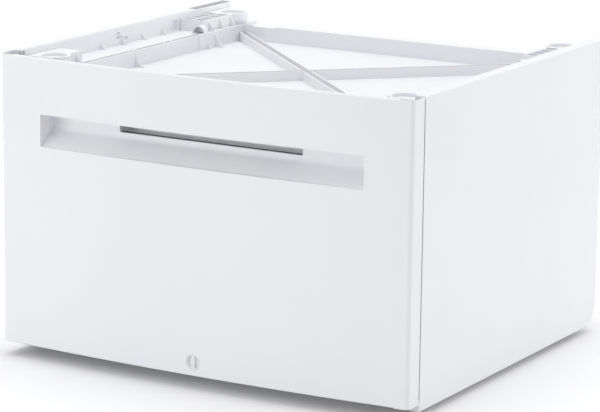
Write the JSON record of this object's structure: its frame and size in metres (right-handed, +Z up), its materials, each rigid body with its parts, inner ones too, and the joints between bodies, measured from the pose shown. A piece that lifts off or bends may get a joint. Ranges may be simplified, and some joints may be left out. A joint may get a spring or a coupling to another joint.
{
  "type": "washer pedestal drawer",
  "caption": "Pull-out drawer pedestal for a front-loading washer: bowed front with a recessed grip and turn lock, sheet sides, ribbed moulded top tray with corner foot seats, levelling feet.",
  "frame": {"origin": "on the floor under the middle of the bounding box", "axes": "+X to the right as seen from the front, +Y to the rear (the drawer opens towards -Y), +Z up"},
  "size_m": [0.6, 0.55, 0.4],
  "materials": {
    "body_white": "satin",
    "moulding_white": "matte",
    "runner_steel": "zinc plated",
    "knob_white": "semi gloss",
    "foot_black": "matte"
  },
  "bodies": {
    "carcass": {"side_panel_left": "body_white", "side_panel_right": "body_white", "rear_panel": "body_white", "top_rail_rear": "body_white", "base_rail_front": "runner_steel", "lock_keeper": "runner_steel", "base_rail_rear": "runner_steel", "base_side_left": "runner_steel", "base_side_right": "runner_steel", "post_front_left": "runner_steel", "post_front_right": "runner_steel", "post_rear_left": "runner_steel", "post_rear_right": "runner_steel", "top_rail_front": "runner_steel", "runner_outer_left": "runner_steel", "runner_outer_right": "runner_steel", "side_deck_left": "moulding_white", "side_deck_right": "moulding_white", "top_tray": "moulding_white", "foot_block_front_left": "moulding_white", "foot_block_front_right": "moulding_white", "foot_block_rear_left": "moulding_white", "foot_block_rear_right": "moulding_white"},
    "runner_middle": {"runner_middle_left": "runner_steel", "runner_middle_right": "runner_steel"},
    "drawer": {"drawer_front_skin": "body_white", "drawer_front_backing": "body_white", "handle_recess": "moulding_white", "finger_cup": "moulding_white", "finger_hood": "moulding_white", "drawer_bottom": "body_white", "drawer_side_left": "body_white", "drawer_side_right": "body_white", "drawer_back": "body_white", "front_bracket_left": "runner_steel", "front_bracket_right": "runner_steel", "lock_housing": "moulding_white", "runner_inner_left": "runner_steel", "runner_inner_right": "runner_steel"},
    "lock": {"lock_knob": "knob_white", "lock_cam": "runner_steel"},
    "foot_front_left_body": {"foot_front_left": "foot_black"},
    "foot_front_right_body": {"foot_front_right": "foot_black"},
    "foot_rear_left_body": {"foot_rear_left": "foot_black"},
    "foot_rear_right_body": {"foot_rear_right": "foot_black"}
  },
  "joints": [
    {"name": "drawer_slide", "type": "slide", "parent": "carcass", "child": "drawer", "axis": [0, -1, 0], "range_m": [0, 0.4]},
    {"name": "runner_middle_slide", "type": "slide", "parent": "carcass", "child": "runner_middle", "axis": [0, -1, 0], "range_m": [0, 0.2]},
    {"name": "lock_turn", "type": "hinge", "parent": "drawer", "child": "lock", "pos_m": [0, -0.27, 0.036], "axis": [0, 1, 0], "range_deg": [0, 90]},
    {"name": "foot_front_left_turn", "type": "hinge", "parent": "carcass", "child": "foot_front_left_body", "pos_m": [-0.265, -0.19, 0.02], "axis": [0, 0, 1], "range_deg": [0, 3600]},
    {"name": "foot_front_right_turn", "type": "hinge", "parent": "carcass", "child": "foot_front_right_body", "pos_m": [0.265, -0.19, 0.02], "axis": [0, 0, 1], "range_deg": [0, 3600]},
    {"name": "foot_rear_left_turn", "type": "hinge", "parent": "carcass", "child": "foot_rear_left_body", "pos_m": [-0.265, 0.214, 0.02], "axis": [0, 0, 1], "range_deg": [0, 3600]},
    {"name": "foot_rear_right_turn", "type": "hinge", "parent": "carcass", "child": "foot_rear_right_body", "pos_m": [0.265, 0.214, 0.02], "axis": [0, 0, 1], "range_deg": [0, 3600]}
  ],
  "couplings": [
    {"joint": "runner_middle_slide", "follows": "drawer_slide", "ratio": 0.5}
  ]
}
